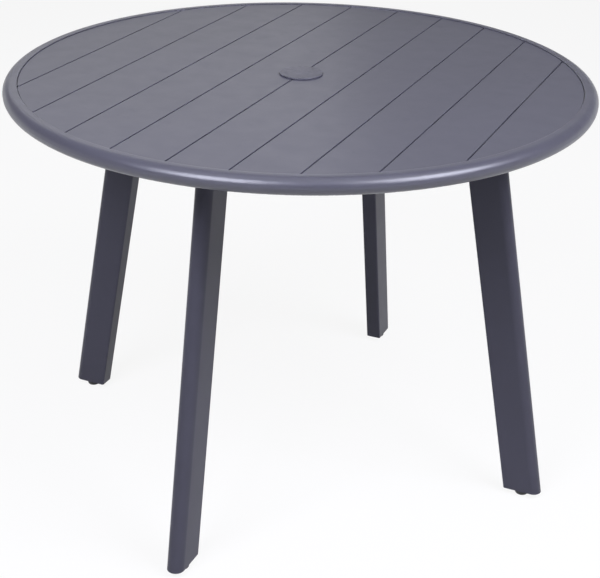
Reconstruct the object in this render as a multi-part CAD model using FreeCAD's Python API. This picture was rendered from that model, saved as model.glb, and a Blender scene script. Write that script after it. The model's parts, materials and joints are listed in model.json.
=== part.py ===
"""Round slatted umbrella table on four splayed legs, in millimetres, +Z up.

The origin is on the floor under the middle of the umbrella hole. The slats run along Y.
The legs stand on the X and Y axes: front is -Y, right is +X, back is +Y, left is -X.
"""
import FreeCAD, Part
import math
import os

Vector = FreeCAD.Vector

# Overall sizes
top_diameter = 1000.0
top_height = 723.0

# Rim: an oval tube, its crest a little above the slats, flat against their ends, with a ledge under them
rim_width = 24.4
rim_height = 28.0
rim_crest_inset = 16.4
rim_wall = 1.2
ledge_width = 12.0
ledge_thickness = 2.0
drain_radius = 2.5
drain_count = 8

# Slats: pressed pans with a lip at the bottom, the rim trimming the outer two
slat_count = 10
slat_gap = 2.0
slat_depth = 8.0
slat_wall = 0.8
slat_lip = 12.0
slat_end_gap = 0.5
edge_slat_trim = 3.1
slat_plan_corner = 2.0
edge_round = 0.8

# Rails from the hub to the rim, and channels across the slats
frame_height = 18.0
rail_width = 40.0
rail_wall = 1.2
batten_width = 30.0
batten_wall = 1.2
batten_offset = 235.0
weld_gap = 0.1

# Hub, collar and bush round the umbrella pole
pole_bore_radius = 26.0
collar_wall = 2.0
collar_clearance = 0.3
collar_depth = 20.0
collar_flange_width = 6.0
collar_flange_thickness = 1.2
bush_wall = 9.4
bush_clearance = 0.1
bush_depth = 20.0
bush_flange_thickness = 2.0
hub_wall = 2.5
hub_height = 60.0

# Cap over the umbrella hole
cap_edge_width = 2.9
cap_edge_height = 2.6
cap_dome_rise = 0.9
cap_edge_round = 1.5
cap_clearance = 0.3
cap_recess_margin = 0.6
cap_plug_wall = 2.0
cap_plug_depth = 15.0
cap_slot_width = 3.0
cap_slot_depth = 9.0

# Legs: D-section tubes, round side outwards, splayed outwards to the floor
leg_depth = 65.0
leg_thickness = 30.0
leg_wall = 1.2
leg_corner = 3.0
leg_splay = 10.8
leg_floor_radius = 491.0

# Leg plates, with the bolts and rivet nuts that hold them to the rails
plate_thickness = 4.0
plate_margin = 13.0
plate_corner = 6.0
plate_hole_radius = 4.5
bolt_offset = 18.0
bolt_radius = 4.0
bolt_length = 18.0
bolt_head_flats = 13.0
bolt_head_height = 5.3
washer_radius = 8.0
washer_thickness = 1.6
nut_body_radius = 5.5
nut_length = 13.0
nut_bulge_radius = 7.5
nut_bulge_height = 2.5
thread_clearance = 0.05

# Screws that hold the slats to the battens
screw_radius = 2.0
screw_head_radius = 4.0
screw_head_height = 2.4
screw_tip_clearance = 3.4

# Levelling glides and the plugs that they screw into
glide_height = 10.0
pad_radius = 12.0
pad_bottom_round = 3.5
pad_top_round = 1.0
pad_clearance = 0.3
stud_radius = 4.0
stud_reach = 30.0
stud_head_radius = 7.0
stud_head_thickness = 1.5
stud_head_height = 3.0
plug_depth = 20.0
plug_clearance = 0.1
hex_nut_flats = 13.0
hex_nut_height = 6.5

# Places worked out from the sizes above
top_radius = top_diameter / 2
rim_inner_radius = top_radius - rim_width
crest_radius = top_radius - rim_crest_inset
rim_half = rim_height / 2
inner_fall = math.sqrt(1 - ((rim_width - rim_crest_inset) / rim_crest_inset) ** 2)
rim_middle = top_height - rim_half * inner_fall
rim_bottom = rim_middle - rim_half
frame_top = top_height - slat_depth
frame_bottom = frame_top - frame_height
ledge_inner_radius = rim_inner_radius - ledge_width
slat_pitch = 2 * (rim_inner_radius + edge_slat_trim) / slat_count
slat_end_radius = rim_inner_radius - slat_end_gap
collar_radius = pole_bore_radius + collar_wall
collar_flange_radius = collar_radius + collar_flange_width
cap_recess_radius = collar_flange_radius + cap_recess_margin
cap_radius = cap_recess_radius + cap_edge_width
hub_bottom = frame_top - hub_height
hub_inner_radius = pole_bore_radius + bush_wall + bush_clearance
hub_radius = hub_inner_radius + hub_wall
leg_top = frame_bottom - plate_thickness
slope = math.tan(math.radians(leg_splay))
leg_level_depth = leg_depth / math.cos(math.radians(leg_splay))
glide_radius = leg_floor_radius - leg_level_depth / 2 - slope * (glide_height + plug_depth / 2)

sides = {"right": 0, "back": 90, "left": 180, "front": 270}
quarters = {"back_right": (1, 1), "back_left": (-1, 1), "front_left": (-1, -1), "front_right": (1, -1)}


def outline(start, *steps):
    """A closed wire from start: a step is a point for a line, or two points for an arc."""
    edges = []
    here = start
    for step in steps:
        if isinstance(step, tuple):
            middle, end = step
            edges.append(Part.Arc(here, middle, end).toShape())
        else:
            end = step
            edges.append(Part.LineSegment(here, end).toShape())
        here = end
    edges.append(Part.LineSegment(here, start).toShape())
    return Part.Wire(edges)


def spun(start, *steps):
    """A solid of revolution about Z from an outline of points (radius, 0, height)."""
    face = Part.Face(outline(start, *steps))
    return face.revolve(Vector(0, 0, 0), Vector(0, 0, 1), 360)


def at(radius, height):
    """A point of a profile that is spun about Z."""
    return Vector(radius, 0, height)


def corner_arc(centre_r, centre_z, radius, from_degrees, to_degrees):
    """The middle and end points of an arc of a spun profile."""
    middle = math.radians((from_degrees + to_degrees) / 2)
    end = math.radians(to_degrees)
    return (
        at(centre_r + radius * math.cos(middle), centre_z + radius * math.sin(middle)),
        at(centre_r + radius * math.cos(end), centre_z + radius * math.sin(end)),
    )


def block(x0, x1, y0, y1, z0, z1):
    return Part.makeBox(x1 - x0, y1 - y0, z1 - z0, Vector(x0, y0, z0))


def cylinder(radius, z0, z1, x=0.0, y=0.0):
    return Part.makeCylinder(radius, z1 - z0, Vector(x, y, z0))


def ring(outer, inner, z0, z1, x=0.0, y=0.0):
    return cylinder(outer, z0, z1, x, y).cut(cylinder(inner, z0, z1, x, y))


def hexagon(flats, z0, z1, x=0.0, y=0.0):
    """A hexagonal prism, its size across flats, with flats facing Y."""
    corner = flats / math.sqrt(3)
    points = []
    for degrees in range(0, 360, 60):
        turn = math.radians(degrees)
        points.append(Vector(x + corner * math.cos(turn), y + corner * math.sin(turn), z0))
    return Part.Face(outline(*points)).extrude(Vector(0, 0, z1 - z0))


def turned(shape, degrees):
    copy = shape.copy()
    copy.rotate(Vector(0, 0, 0), Vector(0, 0, 1), degrees)
    return copy


def save(node, *solids):
    """Write one sub-part: a solid, or a group of separate solids."""
    shape = solids[0] if len(solids) == 1 else Part.makeCompound(list(solids))
    shape.exportStep("parts/" + node + ".step")


def rim_oval(inset):
    """The rim tube's oval, set in by its wall, as a solid spun about Z."""
    centre = Vector(crest_radius, 0, rim_middle)
    along = Vector(crest_radius + rim_crest_inset - inset, 0, rim_middle)
    up = Vector(crest_radius, 0, rim_middle + rim_half - inset)
    section = Part.Face(Part.Wire(Part.Ellipse(along, up, centre).toShape()))
    return section.revolve(Vector(0, 0, 0), Vector(0, 0, 1), 360)


def rim_tube(inset):
    """The oval with a flat side against the slats and a flat bottom inside the crest's circle."""
    inner = rim_inner_radius + inset
    bottom = rim_bottom + inset
    flat = ring(crest_radius, inner, bottom, rim_middle)
    return rim_oval(inset).cut(cylinder(inner, 0, 2 * top_height)).fuse(flat).removeSplitter()


def rim_ring():
    """The rim tube with its ledge: oval outside, its crest a little above the slats, drained below."""
    tube = rim_tube(0)
    lip = [edge for edge in tube.Edges if edge.BoundBox.ZMin > rim_middle and edge.BoundBox.ZLength < edge_round]
    inner_edge = min(lip, key=lambda edge: edge.BoundBox.XMax)
    tube = tube.makeFillet(edge_round, [inner_edge])
    ledge = ring(rim_inner_radius, ledge_inner_radius, frame_top - ledge_thickness, frame_top)
    outside = tube.fuse(ledge).removeSplitter()
    inside = rim_tube(rim_wall)
    shape = outside.cut(inside)
    drain_circle = (rim_inner_radius + crest_radius) / 2
    for i in range(drain_count):
        turn = math.radians(360 / drain_count * (i + 0.5))
        x = drain_circle * math.cos(turn)
        y = drain_circle * math.sin(turn)
        shape = shape.cut(cylinder(drain_radius, rim_bottom, rim_bottom + rim_wall, x, y))
    return shape


def groove_middle(i):
    """Where the groove before slat i lies, the slats being all alike before the rim trims them."""
    return (i - slat_count / 2) * slat_pitch


def slat_strip(i, inset, z0, z1):
    """The prism that a slat fills inside the rim, set in on every side."""
    x0 = groove_middle(i) + slat_gap / 2 + inset
    x1 = groove_middle(i + 1) - slat_gap / 2 - inset
    strip = block(x0, x1, -top_radius, top_radius, z0, z1)
    return strip.common(cylinder(slat_end_radius - inset, z0, z1))


def upright_edges(solid):
    return [edge for edge in solid.Edges if edge.BoundBox.ZLength > edge.Length / 2]


def slat(i):
    """A pressed pan: top sheet, flange all round and a lip that stands on the frame."""
    plain = slat_strip(i, 0, frame_top, top_height)
    pan = plain.makeFillet(slat_plan_corner, upright_edges(plain))
    rounded = [edge for edge in pan.Edges if edge.BoundBox.ZMin > top_height - edge_round / 2]
    pan = pan.makeFillet(edge_round, rounded)
    pan = pan.cut(slat_strip(i, slat_wall, frame_top + slat_wall, top_height - slat_wall))
    pan = pan.cut(slat_strip(i, slat_wall + slat_lip, frame_top, frame_top + slat_wall))
    pan = pan.cut(cylinder(collar_radius + collar_clearance, frame_top, top_height))
    for x, y in slat_screw_places():
        pan = pan.cut(cylinder(screw_radius + thread_clearance, frame_top, frame_top + slat_wall, x, y))
    return pan


def slat_screw_places():
    """Where the screws go: both long lips of each slat, above each batten."""
    lip_radius = slat_end_radius - slat_wall - slat_lip
    reach = math.sqrt(lip_radius**2 - batten_offset**2) - screw_head_radius
    inward = slat_gap / 2 + slat_wall + slat_lip / 2
    places = []
    for groove in range(1, slat_count):
        for side in (-1, 1):
            x = groove_middle(groove) + side * inward
            if rail_width / 2 + screw_head_radius < abs(x) < reach:
                places += [(x, -batten_offset), (x, batten_offset)]
    return places


def slat_screw(x, y):
    seat = frame_top - batten_wall
    head = cylinder(screw_head_radius, seat - screw_head_height, seat, x, y)
    tip = top_height - slat_wall - screw_tip_clearance
    shank = cylinder(screw_radius, seat, tip, x, y)
    return head.fuse(shank).removeSplitter()


def under_ledge():
    """The ring that the frame leaves free for the rim's ledge."""
    return ring(top_radius, ledge_inner_radius - weld_gap, frame_top - ledge_thickness, frame_top)


def bolt_radii():
    """Distances from the middle to the two bolts of a leg plate."""
    outer_face = leg_floor_radius - slope * leg_top
    return outer_face - leg_level_depth - bolt_offset, outer_face + bolt_offset


def rail():
    """The rail along +X: a rectangular tube, coped to the hub, the rim and its ledge."""
    half = rail_width / 2
    inside = half - rail_wall
    tube = block(0, top_radius, -half, half, frame_bottom, frame_top)
    bore = block(0, top_radius, -inside, inside, frame_bottom + rail_wall, frame_top - rail_wall)
    tube = tube.cut(bore).cut(cylinder(hub_radius + weld_gap, frame_bottom, frame_top))
    tube = tube.common(cylinder(rim_inner_radius - weld_gap, frame_bottom, frame_top)).cut(under_ledge())
    hole_radius = nut_body_radius + thread_clearance
    for x in bolt_radii():
        tube = tube.cut(cylinder(hole_radius, frame_bottom, frame_bottom + rail_wall, x))
    return tube


def batten(side_x, side_y):
    """A channel, open below, from the side of the front or back rail to the rim."""
    start = rail_width / 2
    near = batten_offset - batten_width / 2
    far = batten_offset + batten_width / 2
    channel = block(start, top_radius, near, far, frame_bottom, frame_top)
    web_bottom = frame_top - batten_wall
    hollow = block(start, top_radius, near + batten_wall, far - batten_wall, frame_bottom, web_bottom)
    channel = channel.cut(hollow).common(cylinder(rim_inner_radius - weld_gap, frame_bottom, frame_top))
    channel = channel.cut(under_ledge())
    for x, y in slat_screw_places():
        if x > 0 and y > 0:
            channel = channel.cut(cylinder(screw_radius + thread_clearance, frame_bottom, frame_top, x, y))
    if side_x < 0:
        channel = channel.mirror(Vector(0, 0, 0), Vector(1, 0, 0))
    if side_y < 0:
        channel = channel.mirror(Vector(0, 0, 0), Vector(0, 1, 0))
    return channel


def hub_tube():
    return ring(hub_radius, hub_inner_radius, hub_bottom, frame_top)


def pole_guide():
    """The bush that steadies the umbrella pole, its flange under the hub tube."""
    flange = cylinder(hub_radius, hub_bottom - bush_flange_thickness, hub_bottom)
    body = cylinder(hub_inner_radius - bush_clearance, hub_bottom, hub_bottom + bush_depth)
    bore = cylinder(pole_bore_radius, hub_bottom - bush_flange_thickness, hub_bottom + bush_depth)
    return flange.fuse(body).cut(bore).removeSplitter()


def hole_collar():
    """The collar that lines the slats' hole, its flange on the slats."""
    flange_top = top_height + collar_flange_thickness
    flange = cylinder(collar_flange_radius, top_height, flange_top)
    body = cylinder(collar_radius, top_height - collar_depth, top_height)
    bore = cylinder(pole_bore_radius, top_height - collar_depth, flange_top)
    return flange.fuse(body).cut(bore).removeSplitter()


def umbrella_hole_cap():
    """A low domed cap over the collar, with a slotted plug in the collar's bore."""
    edge_top = top_height + cap_edge_height
    dome_radius = cap_radius - cap_edge_round
    curve = (dome_radius**2 + cap_dome_rise**2) / (2 * cap_dome_rise)
    dome_middle = edge_top + cap_dome_rise - curve + math.sqrt(curve**2 - (dome_radius / 2) ** 2)
    recess_top = top_height + collar_flange_thickness + cap_clearance
    plug_radius = pole_bore_radius - cap_clearance
    plug_bottom = top_height - cap_plug_depth
    plug_inner_radius = plug_radius - cap_plug_wall
    cap = spun(
        at(0, recess_top),
        at(plug_inner_radius, recess_top),
        at(plug_inner_radius, plug_bottom),
        at(plug_radius, plug_bottom),
        at(plug_radius, recess_top),
        at(cap_recess_radius, recess_top),
        at(cap_recess_radius, top_height + cap_clearance),
        at(cap_radius, top_height + cap_clearance),
        at(cap_radius, edge_top - cap_edge_round),
        corner_arc(dome_radius, edge_top - cap_edge_round, cap_edge_round, 0, 90),
        (at(dome_radius / 2, dome_middle), at(0, edge_top + cap_dome_rise)),
    )
    half = cap_slot_width / 2
    slot = block(-cap_radius, cap_radius, -half, half, plug_bottom, plug_bottom + cap_slot_depth)
    return cap.cut(slot).cut(turned(slot, 90))


def leg_prism(inset, z0, z1):
    """The leg on +X between two heights: its section set in on every side."""
    half = leg_thickness / 2 - inset
    round_centre = leg_depth - leg_thickness / 2
    corner = max(leg_corner - inset, leg_wall)
    nick = corner * (1 - math.sqrt(0.5))
    wire = outline(
        Vector(inset, corner - half, 0),
        (Vector(inset + nick, nick - half, 0), Vector(inset + corner, -half, 0)),
        Vector(round_centre, -half, 0),
        (Vector(leg_depth - inset, 0, 0), Vector(round_centre, half, 0)),
        Vector(inset + corner, half, 0),
        (Vector(inset + nick, half - nick, 0), Vector(inset, half - corner, 0)),
    )
    return placed_on_leg(Part.Face(wire), z0, z1)


def placed_on_leg(face, z0, z1):
    """Extrude a section along the splayed leg on +X and cut it level at both heights."""
    prism = face.extrude(Vector(0, 0, 2 * top_height))
    prism.translate(Vector(0, 0, -top_height / 2))
    prism.rotate(Vector(0, 0, 0), Vector(0, 1, 0), -leg_splay)
    prism.translate(Vector(leg_floor_radius - leg_level_depth, 0, 0))
    return prism.common(block(0, top_diameter, -top_radius, top_radius, z0, z1))


def leg():
    tube = leg_prism(0, glide_height, leg_top)
    return tube.cut(leg_prism(leg_wall, glide_height, leg_top))


def leg_plate():
    inner, outer = bolt_radii()
    half = rail_width / 2
    plate = block(inner - plate_margin, outer + plate_margin, -half, half, leg_top, frame_bottom)
    plate = plate.makeFillet(plate_corner, upright_edges(plate))
    for x in (inner, outer):
        plate = plate.cut(cylinder(plate_hole_radius, leg_top, frame_bottom, x))
    return plate


def leg_bolt(x):
    seat = leg_top - washer_thickness
    head = hexagon(bolt_head_flats, seat - bolt_head_height, seat, x)
    return head.fuse(cylinder(bolt_radius, seat, seat + bolt_length, x)).removeSplitter()


def leg_washer(x):
    return ring(washer_radius, plate_hole_radius, leg_top - washer_thickness, leg_top, x)


def rivet_nut(x):
    """A flush rivet nut in the rail's lower wall, its bulge on the wall's inner face."""
    wall_top = frame_bottom + rail_wall
    body = cylinder(nut_body_radius, frame_bottom, frame_bottom + nut_length, x)
    bulge = cylinder(nut_bulge_radius, wall_top, wall_top + nut_bulge_height, x)
    bore = cylinder(bolt_radius + thread_clearance, frame_bottom, frame_bottom + nut_length, x)
    return body.fuse(bulge).cut(bore).removeSplitter()


def leg_plug():
    """The plug in the leg's lower end, bored for the stud, with a pocket for its nut."""
    top = glide_height + plug_depth
    plug = leg_prism(leg_wall + plug_clearance, glide_height, top)
    plug = plug.cut(cylinder(stud_radius + thread_clearance, glide_height, top, glide_radius))
    pocket = hexagon(hex_nut_flats + plug_clearance, top - hex_nut_height, top, glide_radius)
    return plug.cut(pocket)


def plug_nut():
    top = glide_height + plug_depth
    nut = hexagon(hex_nut_flats, top - hex_nut_height, top, glide_radius)
    return nut.cut(cylinder(stud_radius + thread_clearance, top - hex_nut_height, top, glide_radius))


def glide_pad():
    """A domed pad moulded round the stud's head, flat where it stands on the floor."""
    top = glide_height - pad_clearance
    head_room = stud_head_radius + thread_clearance
    stud_room = stud_radius + thread_clearance
    head_floor = stud_head_height - thread_clearance
    head_roof = stud_head_height + stud_head_thickness + thread_clearance
    pad = spun(
        at(0, 0),
        at(pad_radius - pad_bottom_round, 0),
        corner_arc(pad_radius - pad_bottom_round, pad_bottom_round, pad_bottom_round, -90, 0),
        at(pad_radius, top - pad_top_round),
        corner_arc(pad_radius - pad_top_round, top - pad_top_round, pad_top_round, 0, 90),
        at(stud_room, top),
        at(stud_room, head_roof),
        at(head_room, head_roof),
        at(head_room, head_floor),
        at(0, head_floor),
    )
    pad.translate(Vector(glide_radius, 0, 0))
    return pad


def glide_stud():
    """The stud, plain where its thread would be, with a flat head held in the pad."""
    head_top = stud_head_height + stud_head_thickness
    head = cylinder(stud_head_radius, stud_head_height, head_top, glide_radius)
    shank = cylinder(stud_radius, head_top, glide_height + stud_reach, glide_radius)
    return head.fuse(shank).removeSplitter()


os.makedirs("parts", exist_ok=True)

save("rim_ring", rim_ring())
for i in range(slat_count):
    save(f"slat_{i + 1:02d}", slat(i))
save("slat_screws", *[slat_screw(x, y) for x, y in slat_screw_places()])
for name, (side_x, side_y) in quarters.items():
    save("batten_" + name, batten(side_x, side_y))

save("hub_tube", hub_tube())
save("pole_guide", pole_guide())
save("hole_collar", hole_collar())
save("umbrella_hole_cap", umbrella_hole_cap())

one_of_each = {
    "rail": rail(),
    "leg": leg(),
    "leg_plate": leg_plate(),
    "leg_plug": leg_plug(),
    "glide_pad": glide_pad(),
    "glide_stud": glide_stud(),
}
for piece, shape in one_of_each.items():
    for side, degrees in sides.items():
        save(piece + "_" + side, turned(shape, degrees))

fasteners = {"leg_bolts": leg_bolt, "leg_washers": leg_washer, "rivet_nuts": rivet_nut}
for group, make in fasteners.items():
    save(group, *[turned(make(x), degrees) for degrees in sides.values() for x in bolt_radii()])
save("plug_nuts", *[turned(plug_nut(), degrees) for degrees in sides.values()])
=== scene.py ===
"""The looks of a round slatted umbrella table: finishes, fine details, floor, light and camera.

Lengths are in metres, in the frame of the model: +Z up, origin on the floor under the umbrella
hole, slats along Y, and the legs on the X and Y axes.
"""
import bmesh
import bpy
import json
import math
from mathutils import Matrix, Vector
from mathutils.geometry import convex_hull_2d


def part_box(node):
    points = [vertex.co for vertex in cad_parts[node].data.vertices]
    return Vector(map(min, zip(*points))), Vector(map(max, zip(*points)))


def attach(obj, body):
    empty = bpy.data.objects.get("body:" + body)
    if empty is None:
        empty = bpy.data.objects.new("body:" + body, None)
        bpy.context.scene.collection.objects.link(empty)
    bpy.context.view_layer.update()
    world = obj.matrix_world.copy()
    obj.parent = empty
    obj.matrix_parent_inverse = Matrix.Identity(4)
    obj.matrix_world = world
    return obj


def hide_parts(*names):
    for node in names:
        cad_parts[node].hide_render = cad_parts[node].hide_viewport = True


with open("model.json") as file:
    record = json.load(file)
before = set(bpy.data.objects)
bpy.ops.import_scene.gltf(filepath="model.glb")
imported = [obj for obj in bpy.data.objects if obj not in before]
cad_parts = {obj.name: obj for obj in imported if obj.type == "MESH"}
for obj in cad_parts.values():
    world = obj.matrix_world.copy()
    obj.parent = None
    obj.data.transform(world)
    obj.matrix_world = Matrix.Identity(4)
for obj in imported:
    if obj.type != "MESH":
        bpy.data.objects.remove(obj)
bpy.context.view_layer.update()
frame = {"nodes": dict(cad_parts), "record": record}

# Camera, fitted to the photograph: degrees, then metres, then millimetres
camera_turn = 23.541
camera_elevation = 26.115
camera_roll = 1.157
camera_distance = 2.2602
camera_aside = -0.0019
camera_rise = -0.3673
camera_lens = 79.506
sensor_width = 36.0

# Colours, linear
white = (1.0, 1.0, 1.0)
slate = (0.060, 0.060, 0.082)
# The legs' coat is the same slate, painted a little less blue: painted light that stands in for the
# bluer light the slats get
leg_slate_painted_light = (0.060, 0.059, 0.077)
black = (0.018, 0.018, 0.020)
zinc = (0.55, 0.56, 0.58)
floor_white = (0.80, 0.80, 0.80)
lamp_tint = (0.94, 0.95, 1.11)

# Softboxes: direction from the table top in degrees (azimuth from +X, elevation), then distance,
# width and height in metres, power in watts, and tint
softboxes = {
    "left softbox": (-99, 40, 2.6, 1.2, 1.3, 64, lamp_tint),
    "right softbox": (-11, 40, 2.6, 1.5, 1.2, 67, lamp_tint),
    "overhead softbox": (0, 84, 3.0, 2.0, 4.0, 20, white),
    "corner softbox": (330, 45, 3.0, 1.0, 1.0, 5, white),
    "back softbox": (130, 25, 3.0, 2.0, 1.2, 6, white),
    "back fill": (100, 30, 3.0, 1.5, 0.8, 1.8, white),
}

# World and floor: light from all round, the heights of direction between which gloss sees the white
# backdrop fade into the studio's shade, and how much of the floor's white is its own
ambient_strength = 0.05
backdrop_from = 0.07
backdrop_to = 0.15
studio_shade = 0.28
floor_glow = 0.9
floor_reach = 20.0

# Shine and roughness of the finishes, with how much the roughness varies
slat_specular = 0.55
rim_specular = 0.8
leg_specular = 0.15
coat_roughness = 0.34
coat_variation = 0.025
cap_roughness = 0.38
black_roughness = 0.5
plastic_variation = 0.06
zinc_roughness = (0.28, 0.42)

# Noises of the finishes: cycles per metre, detail, and roughness where it isn't the usual one
coat_clouds = (6, 3)
coat_grain = (1800, 2)
coat_gloss = (25, 4)
orange_peel = (350, 2)
handling_marks = (17, 10, 0.72)
plastic_clouds = (40, 3)
plastic_gloss = (120, 3)
spark_grain = (2500, 3)
zinc_clouds = (300, 4)
zinc_gloss = (500, 3)
zinc_grain = (3000, 2)

# What the noises do: factors on the colour, the range in which handling shows and what it adds, and
# depths of the bumps
coat_cloud_factors = (0.97, 1.03)
coat_grain_factors = (0.95, 1.05)
plastic_cloud_factors = (0.85, 1.15)
zinc_cloud_factors = (0.85, 1.08)
usual_range = (0.3, 0.7)
marked_range = (0.6, 0.7)
marked_share = 0.05
peel_depth = 0.00004
spark_depth = 0.00003
grain_depth = 0.00001

# The rim's inner edge: its outline as radius and height, and the steps round it
lip_outline = (
    (0.4756, 0.7228), (0.4756, 0.7239), (0.47572, 0.72426), (0.4761, 0.72456),
    (0.4768, 0.72478), (0.4780, 0.72488), (0.4800, 0.72490), (0.4822, 0.72486),
    (0.4841, 0.72478), (0.4855, 0.72468), (0.4855, 0.7240), (0.4775, 0.7228),
)
lip_steps = 720

# Threads: crest, root and depth as shares of the pitch, and the start inside the head
screw_pitch = 0.0007
stud_pitch = 0.00125
thread_crest = 0.125
thread_root = 0.25
thread_share = 0.61
thread_start = 0.0001

# Slat screws: the cross recess (half width and, as a share of the head's radius, reach), the pan
# head's outline (height over its face, share of its radius) and its edge
screw_head_height = 0.0024
recess_depth = 0.0013
recess_floor = (0.0004, 0.4)
recess_mouth = (0.0006, 0.52)
pan_outline = ((0, 0.6), (0.0002, 0.78), (0.0006, 0.91), (0.0012, 0.98))
pan_seat = 0.98
head_edge = 0.0003
screw_shank = 0.5

# Leg bolts: shares of the hexagon's half width, the dish in the head and its chamfer in degrees
bolt_radius = 0.004
bolt_head_height = 0.0053
bolt_circle = 0.95
dish_floor = 0.66
dish_mouth = 0.72
bolt_chamfer = 30

# Studs
stud_head_thickness = 0.0015
stud_edge = 0.0002

# Welds: bead size, the waves along it, its tapered ends, and the room it leaves
weld_radius = 0.0022
weld_pitch = 0.0024
rings_per_ripple = 5
ripple_share = 0.16
ripple_power = 0.6
bead_tip = 0.35
taper_length = 0.0025
ledge_thickness = 0.002
slat_room = 0.0006
ledge_room = 0.0004

# Points of the meshes, and limits for telling their parts apart
head_points = 48
thread_points = 24
turn_rings = 8
bead_points = 10
strap_steps = 8
smooth_angle = 32
same_point = 0.000001
same_level = 0.0001
smallest_sine = 0.001
steep = 0.7

# The legs' sides by quarters of a turn from +X, and the battens with their side of the middle
sides = ("right", "back", "left", "front")
quarters = (("back_right", 1), ("back_left", -1), ("front_left", -1), ("front_right", 1))

top_centre = Vector((0, 0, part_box("slat_05")[1].z))


def new_material(name):
    """An empty material with its node tree, its Principled shader and its output."""
    material = bpy.data.materials.new(name)
    material.use_nodes = True
    tree = material.node_tree
    tree.nodes.clear()
    shader = tree.nodes.new("ShaderNodeBsdfPrincipled")
    output = tree.nodes.new("ShaderNodeOutputMaterial")
    tree.links.new(shader.outputs["BSDF"], output.inputs["Surface"])
    return material, tree, shader


def noise(tree, scale, detail, roughness=0.5):
    """A noise texture on the object's own coordinates, in cycles per metre."""
    place = tree.nodes.new("ShaderNodeTexCoord")
    texture = tree.nodes.new("ShaderNodeTexNoise")
    texture.inputs["Scale"].default_value = scale
    texture.inputs["Detail"].default_value = detail
    texture.inputs["Roughness"].default_value = roughness
    tree.links.new(place.outputs["Object"], texture.inputs["Vector"])
    return texture.outputs["Fac"]


def spread(tree, value, low, high, source=usual_range, kind="LINEAR"):
    """Map a value's source range onto low..high."""
    node = tree.nodes.new("ShaderNodeMapRange")
    node.interpolation_type = kind
    node.inputs["From Min"].default_value = source[0]
    node.inputs["From Max"].default_value = source[1]
    node.inputs["To Min"].default_value = low
    node.inputs["To Max"].default_value = high
    tree.links.new(value, node.inputs["Value"])
    return node.outputs["Result"]


def shaded(tree, colour, factor):
    """A colour times a factor that changes over the surface."""
    node = tree.nodes.new("ShaderNodeVectorMath")
    node.operation = "SCALE"
    node.inputs[0].default_value = colour
    tree.links.new(factor, node.inputs["Scale"])
    return node.outputs["Vector"]


def combined(tree, operation, *values, clamp=False):
    """A sum on values, each one a number or another node's output."""
    node = tree.nodes.new("ShaderNodeMath")
    node.operation = operation
    node.use_clamp = clamp
    for value, socket in zip(values, node.inputs):
        if isinstance(value, float):
            socket.default_value = value
        else:
            tree.links.new(value, socket)
    return node.outputs["Value"]


def bump(tree, shader, *layers):
    """Stack bump layers: each is a height value and its depth in metres."""
    below = None
    for height, depth in layers:
        node = tree.nodes.new("ShaderNodeBump")
        node.inputs["Distance"].default_value = depth
        tree.links.new(height, node.inputs["Height"])
        if below:
            tree.links.new(below, node.inputs["Normal"])
        below = node.outputs["Normal"]
    tree.links.new(below, shader.inputs["Normal"])


def powder_coat(name, colour, roughness, specular):
    """Satin powder coat: faint clouds, fine grain, orange peel and sparse handling marks."""
    material, tree, shader = new_material(name)
    clouds = spread(tree, noise(tree, *coat_clouds), *coat_cloud_factors)
    grain = spread(tree, noise(tree, *coat_grain), *coat_grain_factors)
    rubbed = noise(tree, *handling_marks)
    paler = spread(tree, rubbed, 1, 1 + marked_share, marked_range)
    mottle = combined(tree, "MULTIPLY", clouds, combined(tree, "MULTIPLY", grain, paler))
    tree.links.new(shaded(tree, colour, mottle), shader.inputs["Base Color"])
    low, high = roughness - coat_variation, roughness + coat_variation
    gloss = spread(tree, noise(tree, *coat_gloss), low, high)
    duller = spread(tree, rubbed, 0, marked_share, marked_range)
    tree.links.new(combined(tree, "ADD", gloss, duller), shader.inputs["Roughness"])
    shader.inputs["Specular IOR Level"].default_value = specular
    peel = (noise(tree, *orange_peel), peel_depth)
    bump(tree, shader, peel, (noise(tree, *coat_grain), grain_depth))
    return material


def plastic(name, colour, roughness):
    """Moulded plastic: a fine spark-eroded grain."""
    material, tree, shader = new_material(name)
    clouds = spread(tree, noise(tree, *plastic_clouds), *plastic_cloud_factors)
    tree.links.new(shaded(tree, colour, clouds), shader.inputs["Base Color"])
    low, high = roughness - plastic_variation, roughness + plastic_variation
    gloss = spread(tree, noise(tree, *plastic_gloss), low, high)
    tree.links.new(gloss, shader.inputs["Roughness"])
    bump(tree, shader, (noise(tree, *spark_grain), spark_depth))
    return material


def zinc_plate(name):
    """Bright zinc plating, a little cloudy."""
    material, tree, shader = new_material(name)
    shader.inputs["Metallic"].default_value = 1.0
    clouds = spread(tree, noise(tree, *zinc_clouds), *zinc_cloud_factors)
    tree.links.new(shaded(tree, zinc, clouds), shader.inputs["Base Color"])
    gloss = spread(tree, noise(tree, *zinc_gloss), *zinc_roughness)
    tree.links.new(gloss, shader.inputs["Roughness"])
    bump(tree, shader, (noise(tree, *zinc_grain), grain_depth))
    return material


def dress():
    """Give every slot of the model its finish."""
    finishes = {
        "slat_coat": powder_coat("slat powder coat", slate, coat_roughness, slat_specular),
        "rim_coat": powder_coat("rim powder coat", slate, coat_roughness, rim_specular),
        # The legs take the slate painted less blue, as painted light for their less blue lighting
        "leg_coat": powder_coat("leg powder coat", leg_slate_painted_light, coat_roughness, leg_specular),
        "frame_coat": powder_coat("frame powder coat", slate, coat_roughness, slat_specular),
        "cap_plastic": plastic("cap plastic", slate, cap_roughness),
        "black_plastic": plastic("black plastic", black, black_roughness),
        "zinc_steel": zinc_plate("zinc plate"),
    }
    slots = {part["node"]: part["material_slot"] for part in frame["record"]["subparts"]}
    for node, piece in frame["nodes"].items():
        piece.data.materials.clear()
        piece.data.materials.append(finishes[slots[node]])
    return finishes


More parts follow.
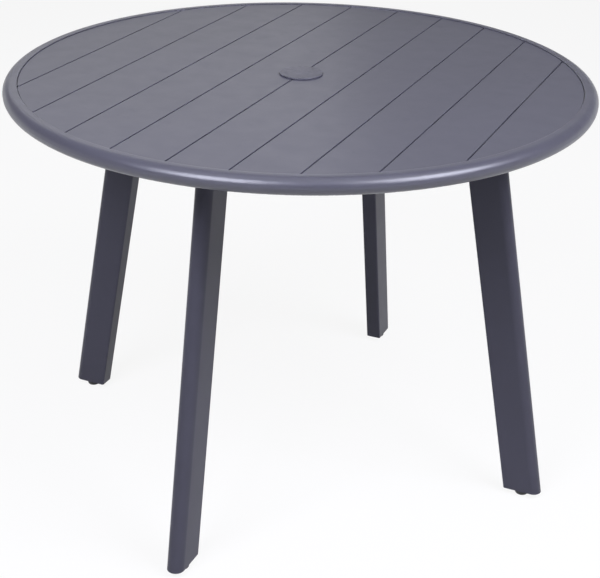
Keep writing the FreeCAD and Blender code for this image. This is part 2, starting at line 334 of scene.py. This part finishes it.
def skinned(rings, closed=False):
    """A surface through rings of equally many points, ends filled unless it closes on itself."""
    count = len(rings[0])
    points = [point for ring in rings for point in ring]
    faces = []
    for i in range(len(rings) if closed else len(rings) - 1):
        near = i * count
        far = (i + 1) % len(rings) * count
        for j in range(count):
            k = (j + 1) % count
            faces.append((near + j, near + k, far + k, far + j))
    if not closed:
        faces.append(tuple(range(count)))
        faces.append(tuple(range(len(points) - count, len(points))))
    return points, faces


def add_piece(name, shapes, body, slot, replaced=None):
    """One object from several surfaces: it rides on a body and has its slot's finish."""
    mesh = bpy.data.meshes.new(name)
    points = []
    faces = []
    for shape_points, shape_faces in shapes:
        start = len(points)
        points += shape_points
        faces += [tuple(start + i for i in face) for face in shape_faces]
    mesh.from_pydata(points, [], faces)
    work = bmesh.new()
    work.from_mesh(mesh)
    bmesh.ops.recalc_face_normals(work, faces=work.faces)
    work.to_mesh(mesh)
    work.free()
    mesh.shade_smooth()
    mesh.set_sharp_from_angle(angle=math.radians(smooth_angle))
    mesh.materials.append(finishes[slot])
    piece = bpy.data.objects.new(name, mesh)
    bpy.context.scene.collection.objects.link(piece)
    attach(piece, body)
    if replaced:
        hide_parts(replaced)


def ring_of(x, y, z, radius, count=head_points):
    """A ring of points about an upright axis; the radius may change with the angle."""
    points = []
    for i in range(count):
        turn = math.tau * i / count
        r = radius(turn) if callable(radius) else radius
        points.append((x + r * math.cos(turn), y + r * math.sin(turn), z))
    return points


def thread_rings(x, y, z0, z1, radius, pitch):
    """Rings of a right-hand thread from z0 up to z1, its tip chamfered."""
    depth = thread_share * pitch
    flank = (1 - thread_crest - thread_root) / 2

    def height(turn, z):
        phase = (z / pitch - turn / math.tau) % 1
        if phase < thread_crest:
            share = 0
        elif phase < thread_crest + flank:
            share = (phase - thread_crest) / flank
        elif phase < thread_crest + flank + thread_root:
            share = 1
        else:
            share = (1 - phase) / flank
        return min(radius - depth * share, radius - depth + (z1 - z))

    steps = math.ceil((z1 - z0) / pitch * turn_rings)
    heights = [z0 + (z1 - z0) * i / steps for i in range(steps + 1)]
    return [ring_of(x, y, z, lambda turn: height(turn, z), thread_points) for z in heights]


def cross(half_width, length):
    """The outline of a cross recess as a radius at each angle."""
    def radius(turn):
        off_axis = abs((turn + math.pi / 4) % (math.pi / 2) - math.pi / 4)
        return min(length, half_width / max(math.sin(off_axis), smallest_sine))
    return radius


def solids_in(node):
    """The lowest and highest corners of each separate solid of a node."""
    work = bmesh.new()
    work.from_mesh(frame["nodes"][node].data)
    bmesh.ops.remove_doubles(work, verts=work.verts, dist=same_point)
    seen = set()
    boxes = []
    for first in work.verts:
        if first in seen:
            continue
        seen.add(first)
        group = [first]
        for vertex in group:
            for edge in vertex.link_edges:
                other = edge.other_vert(vertex)
                if other not in seen:
                    seen.add(other)
                    group.append(other)
        low = [min(vertex.co[i] for vertex in group) for i in range(3)]
        high = [max(vertex.co[i] for vertex in group) for i in range(3)]
        boxes.append((Vector(low), Vector(high)))
    work.free()
    return boxes


def add_slat_screws():
    """Pan-head screws with a cross recess, heads down."""
    shapes = []
    for low, high in solids_in("slat_screws"):
        x = (low.x + high.x) / 2
        y = (low.y + high.y) / 2
        head = (high.x - low.x) / 2
        shank = screw_shank * head
        seat = low.z + screw_head_height
        recess = [
            ring_of(x, y, low.z + rise, cross(half_width, reach * head))
            for rise, (half_width, reach) in ((recess_depth, recess_floor), (0, recess_mouth))
        ]
        pan = [ring_of(x, y, low.z + rise, share * head) for rise, share in pan_outline]
        shapes.append(skinned(recess + pan + [
            ring_of(x, y, seat - head_edge, head),
            ring_of(x, y, seat, pan_seat * head),
            ring_of(x, y, seat, shank),
        ]))
        shapes.append(skinned(thread_rings(x, y, seat - thread_start, high.z, shank, screw_pitch)))
    add_piece("cross_recess_screws", shapes, "table", "zinc_steel", "slat_screws")


def add_leg_bolts():
    """Hexagon-head bolts, heads down, with the free end of each head chamfered."""
    shapes = []
    for low, high in solids_in("leg_bolts"):
        x = (low.x + high.x) / 2
        y = (low.y + high.y) / 2
        wide = high - low
        flat = min(wide.x, wide.y) / 2
        start = 0 if wide.x > wide.y else math.pi / 6
        circle = bolt_circle * flat
        slope = math.tan(math.radians(bolt_chamfer))
        seat = low.z + bolt_head_height

        def side(turn):
            return flat / math.cos((turn + start) % (math.pi / 3) - math.pi / 6)

        edge = [
            (px, py, low.z + (math.hypot(px - x, py - y) - circle) * slope)
            for px, py, _ in ring_of(x, y, 0, side)
        ]
        shapes.append(skinned([
            ring_of(x, y, low.z + head_edge, dish_floor * flat),
            ring_of(x, y, low.z, dish_mouth * flat),
            ring_of(x, y, low.z, circle),
            edge,
            ring_of(x, y, seat - head_edge, side),
            ring_of(x, y, seat - head_edge, circle),
            ring_of(x, y, seat, circle),
            ring_of(x, y, seat, bolt_radius),
        ]))
        thread = thread_rings(x, y, seat - thread_start, high.z, bolt_radius, stud_pitch)
        shapes.append(skinned(thread))
    add_piece("chamfered_bolts", shapes, "table", "zinc_steel", "leg_bolts")


def add_stud(side):
    """A glide's threaded stud with the flat head that the pad holds."""
    low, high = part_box("glide_stud_" + side)
    x = (low.x + high.x) / 2
    y = (low.y + high.y) / 2
    head = (high.x - low.x) / 2
    top = low.z + stud_head_thickness
    shapes = [
        skinned([
            ring_of(x, y, low.z, head - stud_edge),
            ring_of(x, y, low.z + stud_edge, head),
            ring_of(x, y, top - stud_edge, head),
            ring_of(x, y, top, head - stud_edge),
            ring_of(x, y, top, bolt_radius),
        ]),
        skinned(thread_rings(x, y, top - thread_start, high.z, bolt_radius, stud_pitch)),
    ]
    add_piece("threaded_stud_" + side, shapes, "stud_" + side, "zinc_steel", "glide_stud_" + side)


def bead(path, closed=False):
    """A weld bead along a line of points: overlapping ripples, tapered at open ends."""
    corners = path + path[:1] if closed else path
    runs = [(b - a).length for a, b in zip(corners, corners[1:])]
    total = sum(runs)
    count = max(4, round(total / weld_pitch * rings_per_ripple))
    places = []
    for i in range(count if closed else count + 1):
        along = total * i / count
        run = 0
        while run < len(runs) - 1 and along > runs[run]:
            along -= runs[run]
            run += 1
        places.append(corners[run].lerp(corners[run + 1], min(1, along / runs[run])))
    rings = []
    for i, place in enumerate(places):
        after = places[(i + 1) % len(places)] if closed or i + 1 < len(places) else place
        before = places[i - 1] if closed or i > 0 else place
        ahead = (after - before).normalized()
        level = Vector((0, 0, 1)) if abs(ahead.z) < steep else Vector((1, 0, 0))
        aside = ahead.cross(level).normalized()
        across = ahead.cross(aside)
        gone = total * i / count
        wave = math.sin(math.pi * (gone / weld_pitch % 1)) ** ripple_power
        ripple = 1 - ripple_share + ripple_share * wave
        taper = 1 if closed else min(1, bead_tip + min(gone, total - gone) / taper_length)
        size = weld_radius * ripple * taper
        turns = [math.tau * j / bead_points for j in range(bead_points)]
        rings.append([
            tuple(place + (aside * math.cos(turn) + across * math.sin(turn)) * size)
            for turn in turns
        ])
    return skinned(rings, closed)


def turned(points, quarter):
    """Points turned by quarters about Z."""
    turn = Matrix.Rotation(math.radians(90 * quarter), 3, "Z")
    return [turn @ point for point in points]


def strap(radius, half, top, bottom):
    """Where a rail meets a round wall: down one side, across its underside and up the other."""
    reach = math.asin(half / radius)
    turns = [-reach + 2 * reach * i / strap_steps for i in range(strap_steps + 1)]
    across = [Vector((radius * math.cos(t), radius * math.sin(t), bottom)) for t in turns]
    start, end = across[0].copy(), across[-1].copy()
    start.z = end.z = top
    return [start] + across + [end]


def leg_outline(node):
    """The outline of a leg's upper end."""
    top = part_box(node)[1].z
    vertices = frame["nodes"][node].data.vertices
    flat = [vertex.co.xy for vertex in vertices if vertex.co.z > top - same_level]
    return [Vector((*flat[i], top)) for i in convex_hull_2d(flat)]


def add_rim_lip():
    """The rim's inner edge, which stands up square beside the slats and rolls over to the crest."""
    rings = []
    for i in range(lip_steps):
        turn = math.tau * i / lip_steps
        rings.append([(r * math.cos(turn), r * math.sin(turn), z) for r, z in lip_outline])
    add_piece("rim_lip", [skinned(rings, closed=True)], "table", "rim_coat")


def add_welds():
    """The beads that join hub, rails, battens, rim, leg plates and legs."""
    low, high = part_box("rail_right")
    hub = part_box("hub_tube")[1].x
    clear = high.z - weld_radius - slat_room
    below_ledge = high.z - ledge_thickness - weld_radius - ledge_room
    frame_beads = []
    for quarter in range(len(sides)):
        frame_beads.append(bead(turned(strap(hub, high.y, clear, low.z), quarter)))
        frame_beads.append(bead(turned(strap(high.x, high.y, below_ledge, low.z), quarter)))
    for quarter_name, side_x in quarters:
        start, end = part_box("batten_" + quarter_name)
        for y in (start.y, end.y):
            near = side_x * high.y
            far = side_x * math.sqrt(high.x**2 - y**2)
            frame_beads.append(bead([Vector((near, y, low.z)), Vector((near, y, clear))]))
            frame_beads.append(bead([Vector((far, y, low.z)), Vector((far, y, below_ledge))]))
    add_piece("frame_welds", frame_beads, "table", "frame_coat")
    leg_beads = [bead(leg_outline("leg_" + side), closed=True) for side in sides]
    add_piece("leg_welds", leg_beads, "table", "leg_coat")


def any_ray(tree, *kinds):
    """1 on rays of these kinds."""
    path = tree.nodes.new("ShaderNodeLightPath")
    total = path.outputs[kinds[0]]
    for kind in kinds[1:]:
        total = combined(tree, "ADD", total, path.outputs[kind], clamp=True)
    return total


def backdrop_white(tree):
    """White level with the backdrop, then the studio's shade, by the height of the direction."""
    place = tree.nodes.new("ShaderNodeTexCoord")
    axes = tree.nodes.new("ShaderNodeSeparateXYZ")
    tree.links.new(place.outputs["Generated"], axes.inputs["Vector"])
    heights = (backdrop_from, backdrop_to)
    return spread(tree, axes.outputs["Z"], 1, studio_shade, heights, "SMOOTHSTEP")


def add_world():
    """White for the camera; gloss sees the backdrop and the shade above it; little other light."""
    world = bpy.data.worlds.new("studio")
    bpy.context.scene.world = world
    world.use_nodes = True
    tree = world.node_tree
    tree.nodes.clear()
    seen = any_ray(tree, "Is Camera Ray")
    gloss = any_ray(tree, "Is Glossy Ray", "Is Transmission Ray")
    strength = combined(tree, "MULTIPLY_ADD", gloss, backdrop_white(tree), seen)
    background = tree.nodes.new("ShaderNodeBackground")
    background.inputs["Color"].default_value = (*white, 1)
    lit = combined(tree, "MAXIMUM", strength, ambient_strength)
    tree.links.new(lit, background.inputs["Strength"])
    output = tree.nodes.new("ShaderNodeOutputWorld")
    tree.links.new(background.outputs["Background"], output.inputs["Surface"])


def floor_paint():
    """Pale and matt to light and shadow, and nearly white by itself to the camera and in gloss."""
    material = bpy.data.materials.new("studio floor")
    material.use_nodes = True
    tree = material.node_tree
    tree.nodes.clear()
    matte = tree.nodes.new("ShaderNodeBsdfDiffuse")
    matte.inputs["Color"].default_value = (*floor_white, 1)
    glow = tree.nodes.new("ShaderNodeEmission")
    glow.inputs["Color"].default_value = (*white, 1)
    seen = any_ray(tree, "Is Camera Ray", "Is Glossy Ray", "Is Transmission Ray")
    mix = tree.nodes.new("ShaderNodeMixShader")
    tree.links.new(combined(tree, "MULTIPLY", seen, floor_glow), mix.inputs["Fac"])
    tree.links.new(matte.outputs["BSDF"], mix.inputs[1])
    tree.links.new(glow.outputs["Emission"], mix.inputs[2])
    output = tree.nodes.new("ShaderNodeOutputMaterial")
    tree.links.new(mix.outputs["Shader"], output.inputs["Surface"])
    return material


def add_floor():
    """A pale floor in four quarters: each goes down with the glide that stands on it."""
    material = floor_paint()
    corners = ((0, 0), (floor_reach, -floor_reach), (floor_reach, floor_reach))
    wedge = [Vector((x, y, 0)) for x, y in corners]
    for quarter, side in enumerate(sides):
        mesh = bpy.data.meshes.new("floor_" + side)
        mesh.from_pydata(turned(wedge, quarter), [], [(0, 1, 2)])
        mesh.materials.append(material)
        floor = bpy.data.objects.new("floor_" + side, mesh)
        bpy.context.scene.collection.objects.link(floor)
        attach(floor, "pad_" + side)


def add_softbox(name, azimuth, elevation, distance, width, height, power, tint):
    """An upright area lamp that faces the middle of the table top."""
    lamp = bpy.data.lights.new(name, "AREA")
    lamp.shape = "RECTANGLE"
    lamp.size = width
    lamp.size_y = height
    lamp.color = tint
    lamp.energy = power
    turn, rise = math.radians(azimuth), math.radians(elevation)
    level = math.cos(rise)
    direction = Vector((math.cos(turn) * level, math.sin(turn) * level, math.sin(rise)))
    piece = bpy.data.objects.new(name, lamp)
    piece.location = top_centre + direction * distance
    piece.rotation_euler = direction.to_track_quat("Z", "Y").to_euler()
    bpy.context.scene.collection.objects.link(piece)


def add_camera():
    """The camera, turned and raised from the front, then shifted and rolled in its own axes."""
    turn, rise, roll = (math.radians(a) for a in (camera_turn, camera_elevation, camera_roll))
    level = math.cos(rise)
    back = Vector((math.sin(turn) * level, -math.cos(turn) * level, math.sin(rise)))
    level_right = Vector((0, 0, 1)).cross(back).normalized()
    level_up = back.cross(level_right)
    right = level_right * math.cos(roll) + level_up * math.sin(roll)
    up = level_up * math.cos(roll) - level_right * math.sin(roll)
    lens = bpy.data.cameras.new("camera")
    lens.sensor_width = sensor_width
    lens.lens = camera_lens
    camera = bpy.data.objects.new("camera", lens)
    place = top_centre + back * camera_distance + right * camera_aside + up * camera_rise
    axes = Matrix((right, up, back)).transposed().to_4x4()
    camera.matrix_world = Matrix.Translation(place) @ axes
    bpy.context.scene.collection.objects.link(camera)
    bpy.context.scene.camera = camera


finishes = dress()
add_slat_screws()
add_leg_bolts()
add_rim_lip()
add_welds()
for side in sides:
    add_stud(side)
add_world()
add_floor()
for name, setting in softboxes.items():
    add_softbox(name, *setting)
add_camera()
bpy.context.scene.view_settings.view_transform = "Standard"
